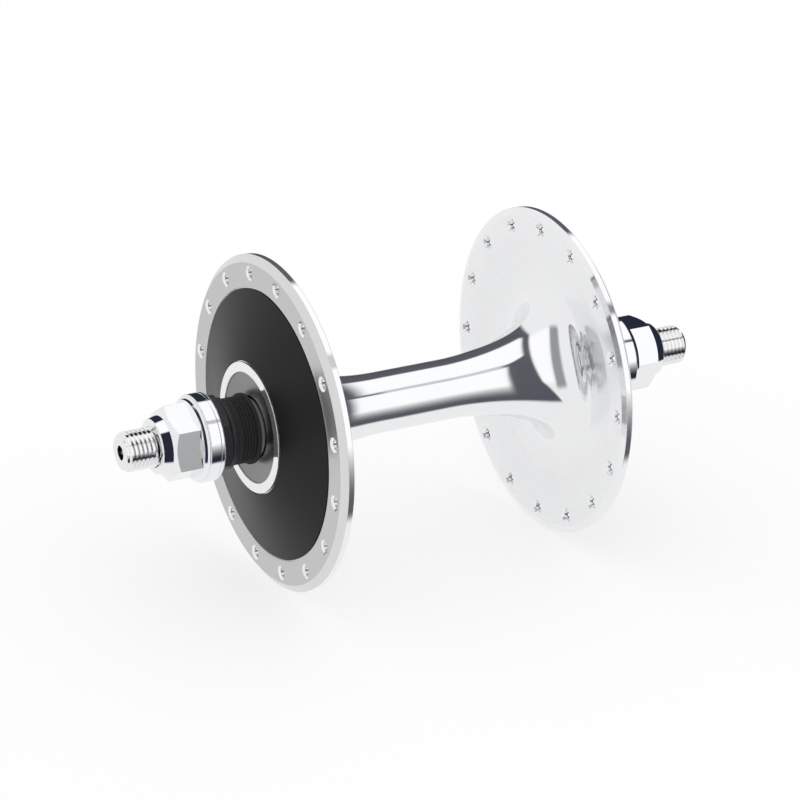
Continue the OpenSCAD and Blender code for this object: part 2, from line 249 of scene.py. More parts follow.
class HubFinishes(bpy.types.PropertyGroup):
    """Colours and roughness of the finishes."""

    aluminium: colour("Aluminium", "Polished aluminium of the shell", (0.91, 0.915, 0.925))
    aluminium_gloss: share("Aluminium roughness", "Roughness of the barrel", 0.06)
    aluminium_haze: share("Aluminium haze", "Share of light that the polish scatters", 0.11)
    web_gloss: share("Web roughness", "Roughness of the webs", 0.2)
    web_haze: share("Web haze", "Share of light that the webs scatter", 0.3)
    # Colours for the outer lands and the outer bevels, darker than the polish
    land: colour("Land", "Machined lands and bevels at the rims", (0.56, 0.56, 0.565))
    bevel: colour("Bevel", "Bevels at the rims", (0.74, 0.74, 0.745))
    land_gloss: share("Land roughness", "Roughness of lands and bevels", 0.25)
    chrome: colour("Chrome", "Chrome plate of nuts and washers", (0.90, 0.905, 0.915))
    chrome_gloss: share("Chrome roughness", "Roughness of the chrome", 0.05)
    steel: colour("Steel", "Plated steel of the axle", (0.88, 0.88, 0.88))
    steel_gloss: share("Steel roughness", "Roughness of the axle", 0.07)
    race: colour("Race steel", "Ground steel of cups, cones and balls", (0.55, 0.55, 0.56))
    race_gloss: share("Race roughness", "Roughness of cups, cones and balls", 0.2)
    cap: colour("Cap", "Grey plate of the dust caps", (0.24, 0.24, 0.245))
    cap_gloss: share("Cap roughness", "Roughness of the dust caps", 0.34)
    cover: colour("Cover", "Satin black of the flange covers", (0.011, 0.011, 0.012))
    cover_gloss: share("Cover roughness", "Roughness of the covers", 0.30)
    cover_shine: share("Cover shine", "Strength of the covers' reflections", 0.1)
    black: colour("Black steel", "Black finish of locknuts and spacers", (0.02, 0.02, 0.022))
    black_gloss: share("Black steel roughness", "Roughness of that finish", 0.22)
    rubber: colour("Rubber", "Black rubber of the seals", (0.007, 0.007, 0.007))
    rubber_gloss: share("Rubber roughness", "Roughness of the seals", 0.38)


class StudioSettings(bpy.types.PropertyGroup):
    """The camera, the lights and the floor."""

    azimuth: turn("Azimuth", "Turn of the camera about the hub", 61.15)
    elevation: turn("Elevation", "Height of the camera's view", 24.14)
    roll: turn("Roll", "Roll of the camera", 1.545)
    place: bpy.props.FloatVectorProperty(
        name="Camera place", description="Where the camera stands",
        default=(0.6127, -0.3401, 0.3130), size=3, subtype="TRANSLATION", unit="LENGTH",
    )
    lens: bpy.props.FloatProperty(
        name="Lens", description="Focal length in millimetres on 36 mm", default=154.97
    )
    daylight: share("Daylight", "Strength of the world's light", 1.0)
    softbox: bpy.props.FloatProperty(
        name="Softbox", description="How bright the softboxes are in reflections",
        default=1.09, min=0,
    )
    wall_tone: share("Wall tone", "How pale the walls and table are in reflections", 0.92)
    room: colour("Room", "Colour of the dark side of the room", (0.020, 0.024, 0.042))
    floor_white: share("Floor white", "Colour of the floor", 0.93)
    shadow: share("Shadow", "How much of the floor's shadow the camera sees", 0.32)


# Mesh tools


def rounded(corners, steps=FILLET_STEPS):
    """Turns closed corners of (radius, station, fillet) into points, each fillet a curve."""
    points = []
    for index, (r, y, fillet) in enumerate(corners):
        here = Vector((r, y))
        before = Vector(corners[index - 1][:2]) - here
        after = Vector(corners[(index + 1) % len(corners)][:2]) - here
        if not fillet:
            points.append(here)
            continue
        away = fillet / math.tan(before.angle(after) / 2)
        away = min(away, SHARE_OF_SIDE * before.length, SHARE_OF_SIDE * after.length)
        first = here + before.normalized() * away
        last = here + after.normalized() * away
        for step in range(steps + 1):
            t = step / steps
            points.append(first * (1 - t) ** 2 + here * 2 * t * (1 - t) + last * t * t)
    return points


def spun(points, sign=1, steps=ROUND_STEPS, closed=True):
    """Spins an outline of (radius, station) points about Y."""
    bm = bmesh.new()
    corners = [bm.verts.new((point[0], sign * point[1], 0)) for point in points]
    edges = [bm.edges.new(pair) for pair in zip(corners, corners[1:])]
    if closed:
        edges.append(bm.edges.new((corners[-1], corners[0])))
    bmesh.ops.spin(
        bm, geom=corners + edges, cent=(0, 0, 0), axis=(0, 1, 0), dvec=(0, 0, 0),
        angle=2 * math.pi, steps=steps, use_merge=True, use_duplicate=False,
    )
    bmesh.ops.remove_doubles(bm, verts=bm.verts, dist=TINY)
    bmesh.ops.dissolve_degenerate(bm, edges=bm.edges, dist=TINY)
    bmesh.ops.delete(bm, geom=[e for e in bm.edges if e.is_wire], context="EDGES")
    bmesh.ops.recalc_face_normals(bm, faces=bm.faces)
    return bm


def hexagon(flats, low, high, phase, sign):
    """A hexagonal bar along Y whose first corner stands at the given turn."""
    bm = bmesh.new()
    corner = corner_radius(flats)
    bmesh.ops.create_cone(
        bm, cap_ends=True, cap_tris=False, segments=6, radius1=corner, radius2=corner,
        depth=high - low,
        matrix=Matrix.Translation((0, sign * (low + high) / 2, 0))
        @ Matrix.Rotation(SIXTH / 2 - phase, 4, "Y")
        @ Matrix.Rotation(-math.pi / 2, 4, "X"),
    )
    bmesh.ops.recalc_face_normals(bm, faces=bm.faces)
    return bm


def in_order(bm):
    """Sorts points, edges and faces by place, so that every run gives the same mesh."""
    places = {v: tuple(round(part / TINY) for part in v.co) for v in bm.verts}
    ranks = {v: rank for rank, v in enumerate(sorted(bm.verts, key=places.get))}
    bm.verts.sort(key=ranks.get)
    for parts in (bm.edges, bm.faces):
        corners = {part: sorted(ranks[v] for v in part.verts) for part in parts}
        order = {part: rank for rank, part in enumerate(sorted(parts, key=corners.get))}
        parts.sort(key=order.get)
    return bm


def as_object(bm, name):
    """Puts a bmesh in the scene as an object at the origin."""
    mesh = bpy.data.meshes.new(name)
    in_order(bm).to_mesh(mesh)
    bm.free()
    thing = bpy.data.objects.new(name, mesh)
    bpy.context.scene.collection.objects.link(thing)
    return thing


def combined(bm, other, operation):
    """Cuts, joins or keeps what two closed shapes share, and returns the new shape."""
    thing = as_object(bm, "work")
    tool = as_object(other, "tool")
    modifier = thing.modifiers.new("Shape", "BOOLEAN")
    modifier.operation = operation
    modifier.solver = "EXACT"
    modifier.object = tool
    graph = bpy.context.evaluated_depsgraph_get()
    mesh = bpy.data.meshes.new_from_object(thing.evaluated_get(graph))
    result = bmesh.new()
    result.from_mesh(mesh)
    for old in (thing, tool):
        data = old.data
        bpy.data.objects.remove(old)
        bpy.data.meshes.remove(data)
    bpy.data.meshes.remove(mesh)
    bmesh.ops.remove_doubles(result, verts=result.verts, dist=TINY)
    return in_order(result)


def softened(bm, width):
    """Bevels the edges where faces meet at more than a slight angle."""
    edges = [e for e in bm.edges if e.is_manifold and e.calc_face_angle() > SOFTENED_ANGLE]
    bmesh.ops.bevel(
        bm, geom=edges, affect="EDGES", offset=width, offset_type="OFFSET", segments=2,
        profile=0.5, material=-1, clamp_overlap=True,
    )
    bmesh.ops.remove_doubles(bm, verts=bm.verts, dist=TINY)
    return bm


def added(group, bm):
    """Adds a shape to a group and returns its vertices there. The shape is used up."""
    mesh = bpy.data.meshes.new("shape")
    bm.to_mesh(mesh)
    bm.free()
    before = set(group.verts)
    group.from_mesh(mesh)
    bpy.data.meshes.remove(mesh)
    return [v for v in group.verts if v not in before]


def repeated(bm, places):
    """Copies of a shape at several places, as one mesh. The shape itself is used up."""
    group = bmesh.new()
    for place in places:
        bmesh.ops.translate(group, verts=added(group, bm.copy()), vec=place)
    bm.free()
    return group


def piece(bm, name, body, node, finish):
    """Makes a finished piece: smooth, in its finish, on its body, for its CAD node."""
    thing = as_object(bm, name)
    mesh = thing.data
    mesh.shade_smooth()
    mesh.set_sharp_from_angle(angle=SHARP_ANGLE)
    mesh.materials.append(bpy.data.materials[finish])
    even = thing.modifiers.new("Even shading", "WEIGHTED_NORMAL")
    even.keep_sharp = True
    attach(thing, body)
    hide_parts(node)
    return thing


# Shader tools


class Shade:
    """A shader socket that adds Math nodes when it is used as a number."""

    def __init__(self, tree, socket=None):
        self.tree = tree
        self.socket = socket

    def node(self, kind, settings, inputs, output=0):
        """Adds a node: its settings first, then the values or links of its sockets."""
        node = self.tree.nodes.new(kind)
        for key, value in settings.items():
            setattr(node, key, value)
        for key, value in inputs.items():
            if isinstance(value, Shade):
                self.tree.links.new(value.socket, node.inputs[key])
            else:
                node.inputs[key].default_value = value
        return Shade(self.tree, node.outputs[output])

    def math(self, operation, first, second=0.0):
        """Adds a Math node."""
        return self.node("ShaderNodeMath", {"operation": operation}, {0: first, 1: second})

    def parts(self):
        """The three parts of a vector."""
        split = self.node("ShaderNodeSeparateXYZ", {}, {"Vector": self})
        return (Shade(self.tree, output) for output in split.socket.node.outputs)

    def __add__(self, other):
        return self.math("ADD", self, other)

    def __radd__(self, other):
        return self.math("ADD", other, self)

    def __sub__(self, other):
        return self.math("SUBTRACT", self, other)

    def __rsub__(self, other):
        return self.math("SUBTRACT", other, self)

    def __mul__(self, other):
        return self.math("MULTIPLY", self, other)

    def __rmul__(self, other):
        return self.math("MULTIPLY", other, self)


def rise(value, low, high, course="SMOOTHSTEP"):
    """A step from nothing to all between two values, smooth unless told otherwise."""
    return value.node(
        "ShaderNodeMapRange", {"interpolation_type": course, "clamp": True},
        {"Value": value, "From Min": low, "From Max": high},
    )


def fall(value, low, high):
    """A smooth step from all to nothing between two values."""
    return 1 - rise(value, low, high)


def band(value, low, high, soft):
    """All between two values, with soft ends."""
    return rise(value, low - soft, low + soft) * fall(value, high - soft, high + soft)


def largest(first, *others):
    """The largest of several values."""
    for other in others:
        first = first.math("MAXIMUM", first, other)
    return first


def blank(name, look):
    """Makes a material. Returns its Principled shader and a socket to start from."""
    material = bpy.data.materials.new(name)
    material.use_nodes = True
    tree = material.node_tree
    shader = tree.nodes["Principled BSDF"]
    for key, value in look.items():
        shader.inputs[key].default_value = value
    return shader, Shade(tree).node("ShaderNodeTexCoord", {}, {}, "Object")


def round_place(place):
    """Distance from the axle and station along it, as two sockets."""
    x, y, z = place.parts()
    return place.math("SQRT", x * x + z * z), y


def turning_marks(place, fineness):
    """Noise drawn out round the axle, as a lathe leaves it."""
    x, _, z = place.parts()
    distance, station = round_place(place)
    spot = place.node(
        "ShaderNodeCombineXYZ", {},
        {"X": distance * fineness, "Y": station * fineness, "Z": z.math("ARCTAN2", z, x)},
    )
    return place.node(
        "ShaderNodeTexNoise", {"noise_dimensions": "3D"},
        {"Vector": spot, "Scale": 1.0, "Detail": 3.0, "Roughness": 0.6},
    )


def cloudy(place, scale, detail=3.0):
    """Soft noise over the surface."""
    return place.node(
        "ShaderNodeTexNoise", {"noise_dimensions": "3D"},
        {"Vector": place, "Scale": scale, "Detail": detail, "Roughness": 0.55},
    )


def link(value, shader, key):
    """Feeds a value into a socket of the shader."""
    value.tree.links.new(value.socket, shader.inputs[key])


def bumped(height, depth, shader):
    """Raises the surface by height times depth."""
    bump = height.node("ShaderNodeBump", {}, {"Height": height, "Distance": depth,
                                              "Strength": 1.0})
    link(bump, shader, "Normal")


def scaled(tone, amount):
    """A colour made lighter or darker."""
    return tuple(min(1.0, part * amount) for part in tone)


def tinted(mask, first, second):
    """Goes from one colour or colour socket to another with the mask."""
    first, second = (tone if isinstance(tone, Shade) else (*tone, 1)
                     for tone in (first, second))
    return mask.node(
        "ShaderNodeMix", {"data_type": "RGBA"}, {"Factor": mask, "A": first, "B": second},
        output=2,
    )


def mottled(tone, mask, dark, light):
    """A colour that the mask makes darker or lighter."""
    return tinted(mask, scaled(tone, dark), scaled(tone, light))


def turned_metal(name, tone, roughness, fineness, relief):
    """Metal off the lathe: rings round the axle in its roughness and relief, and a faint
    mottle in its colour.
    """
    shader, place = blank(name, {"Metallic": 1.0})
    rings = turning_marks(place, fineness)
    clouds = cloudy(place, scale=60.0)
    spread = 0.08
    link(mottled(tone, clouds, dark=0.97, light=1.02), shader, "Base Color")
    link(rings * spread + clouds * spread + (roughness - spread), shader, "Roughness")
    bumped(rings, relief, shader)


def polished_shell(name, look, sizes):
    """The shell's aluminium: a polished barrel, hazier webs, and rougher lands in a darker
    colour.
    """
    shader, place = blank(name, {})
    distance, station = round_place(place)
    depth = station.math("ABSOLUTE", station)
    rings = turning_marks(place, fineness=2600.0)
    clouds = cloudy(place, scale=60.0)
    grain = cloudy(place, scale=2500.0)

    # Where each finish lies. The edge between two of them is as sharp as a hair is thin.
    hair = 0.0001
    face = sizes.flange_span / 2
    back = face - sizes.flange_thickness
    bevel = radius("hub_shell") - sizes.bevel_width
    bevel_end = face - sizes.bevel_outside
    cover = radius("flange_cover_right")
    at_bevel = rise(distance, bevel - hair, bevel)
    at_face = (rise(depth, face - hair, face - 0.3 * hair)
               * rise(distance, cover - hair, cover))
    land = largest(at_face, at_bevel * rise(depth, bevel_end, bevel_end + hair / 2))
    in_hole = (rise(depth, back + 0.2 * hair, back + 0.8 * hair)
               * rise(distance, sizes.land_radius + 2 * hair, sizes.land_radius + 6 * hair))
    web = rise(distance, sizes.web_starts, sizes.web_whole) * (1 - at_bevel) * (1 - in_hole)

    polish = mottled(look.aluminium, clouds, dark=0.97, light=1.02)
    # The outer lands and the outer bevels take a darker colour than the polish
    darker_land_tone = tinted(at_bevel, mottled(look.land, grain, dark=0.9, light=1.1),
                      mottled(look.bevel, grain, dark=0.95, light=1.05))
    link(tinted(land, polish, darker_land_tone), shader, "Base Color")
    more_haze = web * (look.web_haze - look.aluminium_haze)
    link(1 - look.aluminium_haze - more_haze, shader, "Metallic")
    spread = 0.04
    gloss = web * (look.web_gloss - look.aluminium_gloss) + look.aluminium_gloss
    gloss = gloss + rings * spread + clouds * spread - spread
    link(gloss + land * (look.land_gloss - gloss), shader, "Roughness")
    coarser = 4.0
    bumped(rings + grain * land * coarser, 0.0000012, shader)


def plated(name, tone, roughness):
    """Bright plate: a faint unevenness and fine pores."""
    shader, place = blank(name, {"Metallic": 1.0})
    clouds = cloudy(place, scale=150.0)
    link(mottled(tone, clouds, dark=0.96, light=1.02), shader, "Base Color")
    link(clouds * 0.05 + (roughness - 0.02), shader, "Roughness")
    bumped(cloudy(place, scale=900.0, detail=2.0), 0.000004, shader)


def satin_black(name, tone, roughness, grain_scale, shine=0.5):
    """Black moulding or oxide: fine grain, with rings left by the tool."""
    shader, place = blank(name, {"Metallic": 0.0, "IOR": 1.5, "Specular IOR Level": shine})
    grain = cloudy(place, grain_scale)
    rings = turning_marks(place, fineness=3000.0)
    clouds = cloudy(place, scale=90.0)
    link(mottled(tone, clouds, dark=0.85, light=1.15), shader, "Base Color")
    link(grain * 0.06 + clouds * 0.05 + (roughness - 0.05), shader, "Roughness")
    bumped(grain * 0.6 + rings * 0.4, 0.000006, shader)


def moulded_rubber(name, tone, roughness):
    """Rubber: fine grain and a faint bloom."""
    shader, place = blank(name, {"Metallic": 0.0, "IOR": 1.42})
    bloom = cloudy(place, scale=400.0)
    link(mottled(tone, bloom, dark=0.8, light=1.5), shader, "Base Color")
    link(bloom * 0.12 + (roughness - 0.05), shader, "Roughness")
    bumped(cloudy(place, scale=5000.0), 0.000008, shader)


# Operators


class HubOperator:
    """What every operator of the hub shares."""

    bl_options = {"REGISTER", "UNDO"}


class HUB_OT_finishes(HubOperator, bpy.types.Operator):
    """Makes the finishes of all the pieces"""

    bl_idname = "hub.finishes"
    bl_label = "Finishes"

    def execute(self, context):
        look = context.scene.hub_finishes
        polished_shell("polished_aluminium", look, context.scene.hub_shell_sizes)
        turned_metal("threaded_steel", look.steel, look.steel_gloss,
                     fineness=4000.0, relief=0.000002)
        turned_metal("race_steel", look.race, look.race_gloss,
                     fineness=4000.0, relief=0.000002)
        turned_metal("grey_cap", look.cap, look.cap_gloss,
                     fineness=3600.0, relief=0.000004)
        plated("bright_chrome", look.chrome, look.chrome_gloss)
        satin_black("satin_cover", look.cover, look.cover_gloss, grain_scale=6000.0,
                    shine=look.cover_shine)
        satin_black("black_steel", look.black, look.black_gloss, grain_scale=3500.0)
        moulded_rubber("seal_rubber", look.rubber, look.rubber_gloss)
        return {"FINISHED"}


class HUB_OT_shell(HubOperator, bpy.types.Operator):
    """Turns the hub shell and drills its spoke holes"""

    bl_idname = "hub.shell"
    bl_label = "Hub shell"

    def execute(self, context):
        sizes = context.scene.hub_shell_sizes
        outline = shell_outline(sizes)
        both = outline + [Vector((p.x, -p.y)) for p in reversed(outline)]
        body = spun(both)
        drilled = combined(body, spoke_drills(sizes), "DIFFERENCE")
        piece(drilled, "shell_turned", "hub", "hub_shell",
              "polished_aluminium")
        return {"FINISHED"}


def shell_outline(sizes):
    """Right half of the shell's section, from the waist round the flange to the bore."""
    slope = math.tan(sizes.web_angle)
    face = sizes.flange_span / 2
    back = face - sizes.flange_thickness
    rim = radius("hub_shell")
    bevel = rim - sizes.bevel_width
    pocket = radius("flange_cover_right") + sizes.cover_gap
    cap = radius("dust_cap_right")
    lip = cap + sizes.lip_width
    end = reach("hub_shell")
    seat = end - sizes.cap_seat
    floor = seat - sizes.cup_length
    edge = sizes.edge

    # The flare is part of an ellipse, just long enough to run smoothly into the web
    flare_radius = sizes.barrel_radius + sizes.flare_rise
    flare_start = sizes.waist / 2
    line = back + sizes.land_radius * slope - flare_start - flare_radius * slope
    flare_length = math.sqrt(line ** 2 - (slope * sizes.flare_rise) ** 2)
    flare_end = math.acos(-slope * sizes.flare_rise / line)
    flare = []
    for step in range(FLARE_STEPS + 1):
        t = flare_end * step / FLARE_STEPS
        flare.append((flare_radius - sizes.flare_rise * math.cos(t),
                      flare_start + flare_length * math.sin(t), 0))
    corners = flare + [
        (sizes.land_radius, back, sizes.land_blend),
        (bevel, back, edge),
        (rim, back + sizes.bevel_inside, edge),
        (rim, face - sizes.bevel_outside, edge),
        (bevel, face, edge),
        (pocket, face, edge),
        (pocket, face - sizes.cover_thickness, 0),
        (lip, end - sizes.lip_rise, 0),
        (lip, end, edge),
        (cap, end, edge),
        (cap, seat, 0),
        (sizes.cup_radius, seat, 0),
        (sizes.cup_radius, floor, 0),
        (sizes.relief_radius, floor, 0),
        (sizes.relief_radius, floor - sizes.relief_length, 0),
        (sizes.bore_radius, floor - sizes.relief_length - sizes.bore_taper, 0),
    ]
    return rounded(corners)


def spoke_drills(sizes):
    """One drill for each spoke hole, countersunk at both faces, as one cutting shape."""
    face = sizes.flange_span / 2
    back = face - sizes.flange_thickness
    tools = bmesh.new()
    for side, sign in SIDES.items():
        phase = phase_of(sizes, side)
        outline = [(0, back - CLEARANCE), (sizes.sink_radius, back - CLEARANCE),
                   (sizes.sink_radius, back),
                   (sizes.hole_radius, back + sizes.sink_depth),
                   (sizes.hole_radius, face - sizes.sink_depth),
                   (sizes.sink_radius, face), (sizes.sink_radius, face + CLEARANCE),
                   (0, face + CLEARANCE)]
        angles = [phase + index * 2 * math.pi / sizes.hole_count
                  for index in range(sizes.hole_count)]
        added(tools, repeated(
            spun(outline, sign, HOLE_STEPS),
            [Vector((math.cos(angle), 0, math.sin(angle))) * sizes.hole_circle
             for angle in angles]))
    return tools


class HUB_OT_axle(HubOperator, bpy.types.Operator):
    """Cuts the axle with its two threaded ends"""

    bl_idname = "hub.axle"
    bl_label = "Axle"

    def execute(self, context):
        sizes = context.scene.hub_axle_sizes
        inner = reach("axle") - sizes.thread_length
        overlap = sizes.pitch / 4
        axle = spun([(0, -inner - overlap), (sizes.shank_radius, -inner - overlap),
                     (sizes.shank_radius, inner + overlap), (0, inner + overlap)],
                    1, SMALL_STEPS)
        end = threaded_end(sizes)
        added(axle, end.copy())
        bmesh.ops.rotate(axle, verts=added(axle, end), cent=(0, 0, 0),
                         matrix=Matrix.Rotation(math.pi, 3, "X"))
        piece(axle, "axle_threaded", "axle_set", "axle", "threaded_steel")
        return {"FINISHED"}


def screw_surface(sizes, low, high):
    """The surface of a right-hand screw, from before low to after high."""
    pitch = sizes.pitch
    crest = radius("axle")
    root = crest - sizes.thread_depth
    flat = pitch / 8
    flank = pitch * 5 / 16
    form = [(crest, 0), (crest, flat), (root, flat + flank), (root, pitch - flank),
            (crest, pitch)]
    coil = bmesh.new()
    corners = [coil.verts.new((r, y, 0)) for r, y in form]
    edges = [coil.edges.new(pair) for pair in zip(corners, corners[1:])]
    bmesh.ops.spin(
        coil, geom=corners + edges, cent=(0, 0, 0), axis=(0, 1, 0),
        dvec=(0, pitch / THREAD_STEPS, 0), angle=2 * math.pi, steps=THREAD_STEPS,
        use_merge=False, use_duplicate=False,
    )
    # Two coils lie before low and one past high, so that both ends can be cut square
    coils = math.ceil((high - low) / pitch)
    bm = repeated(coil, [Vector((0, low + index * pitch, 0))
                         for index in range(-2, coils + 1)])
    bmesh.ops.remove_doubles(bm, verts=bm.verts, dist=pitch / 1000)
    return bm


def sliced(bm, station, clear_above=False, clear_below=False):
    """Cuts a mesh square to the axle, and clears one side of the cut if asked to."""
    bmesh.ops.bisect_plane(
        bm, geom=bm.verts[:] + bm.edges[:] + bm.faces[:], plane_co=(0, station, 0),
        plane_no=(0, 1, 0), clear_outer=clear_above, clear_inner=clear_below, dist=TINY,
    )


def open_edges(bm, station):
    """The open edges that lie at a station."""
    return [e for e in bm.edges if e.is_boundary
            and all(abs(v.co.y - station) < 10 * TINY for v in e.verts)]


def threaded_end(sizes):
    """The right end of the axle: thread, end chamfer, countersink and centre hole."""
    end = reach("axle")
    inner = end - sizes.thread_length
    taper = end - sizes.end_chamfer
    bm = screw_surface(sizes, inner, end)
    sliced(bm, inner, clear_below=True)
    sliced(bm, end, clear_above=True)
    sliced(bm, taper)
    crest = radius("axle")
    for vertex in bm.verts:
        allowed = crest - max(0, vertex.co.y - taper)
        found = math.hypot(vertex.co.x, vertex.co.z)
        if found > allowed:
            vertex.co.x *= allowed / found
            vertex.co.z *= allowed / found
    bmesh.ops.holes_fill(bm, edges=open_edges(bm, inner), sides=0)

    sink = (sizes.centre_sink - sizes.centre_radius) / math.tan(sizes.sink_angle)
    bottom = end - sizes.centre_depth
    added(bm, spun([(sizes.centre_sink, end), (sizes.centre_radius, end - sink),
                    (sizes.centre_radius, bottom), (0, bottom - sizes.centre_radius)],
                   1, SMALL_STEPS, closed=False))
    bmesh.ops.triangle_fill(bm, use_beauty=True, edges=open_edges(bm, end), normal=(0, 1, 0))
    bmesh.ops.recalc_face_normals(bm, faces=bm.faces)
    return bm


class HUB_OT_axle_nuts(HubOperator, bpy.types.Operator):
    """Makes the flanged axle nuts"""

    bl_idname = "hub.axle_nuts"
    bl_label = "Axle nuts"

    def execute(self, context):
        sizes = context.scene.hub_axle_sizes
        for side, sign in SIDES.items():
            piece(axle_nut(sizes, phase_of(sizes, side), sign), f"nut_{side}",
                  f"nut_{side}", f"axle_nut_{side}", "bright_chrome")
        return {"FINISHED"}


def hexagon_turning(bore, face, low, high, flats, angle, chamfered_end):
    """What a hexagon is turned to: its bore, and a chamfer at its outer or inner end."""
    outer = corner_radius(flats) + CLEARANCE
    drop = (outer - face) * math.tan(angle)
    if chamfered_end == "outer":
        return [(bore, low), (outer, low), (outer, high - drop), (face, high), (bore, high)]
    return [(bore, low), (face, low), (outer, low + drop), (outer, high), (bore, high)]


def axle_nut(sizes, phase, sign):
    """A nut: spigot, flange and boss turned in one, with a chamfered hexagon."""
    seat = reach("nut_washer_right")
    end = reach("axle_nut_right")
    tip = start("axle_nut_right")
    hexagon_end = seat + sizes.nut_hexagon
    flange = radius("axle_nut_right")
    edge = sizes.edge
    foot = seat + sizes.nut_collar
    bevel = seat + sizes.nut_bevel
    collar = corner_radius(sizes.nut_flats) + sizes.collar_ledge
    skirt = collar + (foot - bevel) * math.tan(sizes.collar_angle)
    boss_end = sizes.boss_radius - (end - hexagon_end) * math.tan(sizes.boss_angle)
    turned = spun(rounded([
        (sizes.bore, tip, 0),
        (sizes.spigot_radius, tip, edge),
        (sizes.spigot_radius, seat, 0),
        (flange, seat, edge / 3),
        (flange, seat + sizes.nut_edge, edge / 3),
        (skirt, bevel, edge / 2),
        (collar, foot, edge / 3),
        (sizes.boss_radius - edge, foot, 0),
        (sizes.boss_radius, hexagon_end - edge, 0),
        (boss_end, end - sizes.boss_chamfer, edge),
        (boss_end - sizes.boss_chamfer, end, edge),
        (sizes.bore + sizes.boss_chamfer / 2, end, 0),
        (sizes.bore, end - sizes.boss_chamfer / 2, 0),
    ]), sign, SMALL_STEPS)
    turning = spun(hexagon_turning(sizes.bore, sizes.nut_face, bevel, hexagon_end,
                                   sizes.nut_flats, sizes.chamfer_angle, "outer"),
                   sign, SMALL_STEPS)
    bar = hexagon(sizes.nut_flats, bevel, hexagon_end, phase, sign)
    six_sided = softened(combined(bar, turning, "INTERSECT"), edge)
    return combined(turned, six_sided, "UNION")


class HUB_OT_nut_washers(HubOperator, bpy.types.Operator):
    """Turns the captive washers of the axle nuts"""

    bl_idname = "hub.nut_washers"
    bl_label = "Captive washers"

    def execute(self, context):
        sizes = context.scene.hub_axle_sizes
        low = start("nut_washer_right")
        high = reach("nut_washer_right")
        outer = radius("nut_washer_right")
        groove = low + sizes.groove_at
        width = sizes.groove_width
        soft = sizes.edge * 1.5
        recess = low + sizes.recess_depth
        outline = rounded([
            (sizes.washer_recess, low, 0),
            (outer, low, soft),
            (outer, groove - width / 2, width / 4),
            (outer - width, groove, 0),
            (outer, groove + width / 2, width / 4),
            (outer, high, soft),
            (sizes.washer_hole, high, soft),
            (sizes.washer_hole, recess, 0),
            (sizes.washer_recess, recess, 0),
        ])
        for side, sign in SIDES.items():
            piece(spun(outline, sign), f"washer_{side}", f"captive_washer_{side}",
                  f"nut_washer_{side}", "bright_chrome")
        return {"FINISHED"}


class HUB_OT_locknuts(HubOperator, bpy.types.Operator):
    """Makes the hexagon locknuts"""

    bl_idname = "hub.locknuts"
    bl_label = "Locknuts"

    def execute(self, context):
        sizes = context.scene.hub_axle_sizes
        low = start("locknut_right")
        high = reach("locknut_right")
        for side, sign in SIDES.items():
            turning = spun(hexagon_turning(sizes.bore, sizes.locknut_face, low, high,
                                           sizes.locknut_flats, sizes.chamfer_angle,
                                           "inner"), sign, SMALL_STEPS)
            bar = hexagon(sizes.locknut_flats, low, high, sizes.locknut_phase, sign)
            nut = softened(combined(bar, turning, "INTERSECT"), sizes.edge)
            piece(nut, f"locknut_black_{side}", "axle_set", f"locknut_{side}",
                  "black_steel")
        return {"FINISHED"}


class HUB_OT_spacers(HubOperator, bpy.types.Operator):
    """Turns the spacer washers"""

    bl_idname = "hub.spacers"
    bl_label = "Spacer washers"

    def execute(self, context):
        sizes = context.scene.hub_axle_sizes
        low = start("spacer_washer_right")
        high = reach("spacer_washer_right")
        outer = radius("spacer_washer_right")
        edge = sizes.edge
        outline = rounded([(sizes.bore, low, 0), (outer, low, edge), (outer, high, edge),
                           (sizes.bore, high, 0)])
        for side, sign in SIDES.items():
            piece(spun(outline, sign), f"spacer_{side}", "axle_set",
                  f"spacer_washer_{side}", "black_steel")
        return {"FINISHED"}


class HUB_OT_seals(HubOperator, bpy.types.Operator):
    """Moulds the ribbed seals"""

    bl_idname = "hub.seals"
    bl_label = "Seals"

    def execute(self, context):
        sizes = context.scene.hub_axle_sizes
        low = start("seal_right")
        high = reach("seal_right")
        lip = radius("seal_right")
        root = sizes.seal_radius - sizes.rib_depth
        first = low + sizes.lip_length
        slope = sizes.rib_pitch / 12
        valley = sizes.rib_pitch - sizes.rib_crest - 2 * slope
        soft = sizes.rib_crest / 2.5
        corners = [(sizes.seal_bore, low, 0), (lip, low, soft), (lip, first - slope, soft),
                   (root, first, 0)]
        for rib in range(sizes.rib_count):
            base = first + rib * sizes.rib_pitch
            corners += [(root, base + valley, 0),
                        (sizes.seal_radius, base + valley + slope, soft),
                        (sizes.seal_radius, base + valley + slope + sizes.rib_crest, soft),
                        (root, base + sizes.rib_pitch, 0)]
        strip = first + sizes.rib_count * sizes.rib_pitch + valley
        corners += [(root, strip, 0), (sizes.seal_radius, strip + slope, soft),
                    (sizes.seal_radius, high, soft), (sizes.seal_bore, high, 0)]
        outline = rounded(corners)
        for side, sign in SIDES.items():
            piece(spun(outline, sign), f"seal_ribbed_{side}", "axle_set", f"seal_{side}",
                  "seal_rubber")
        return {"FINISHED"}


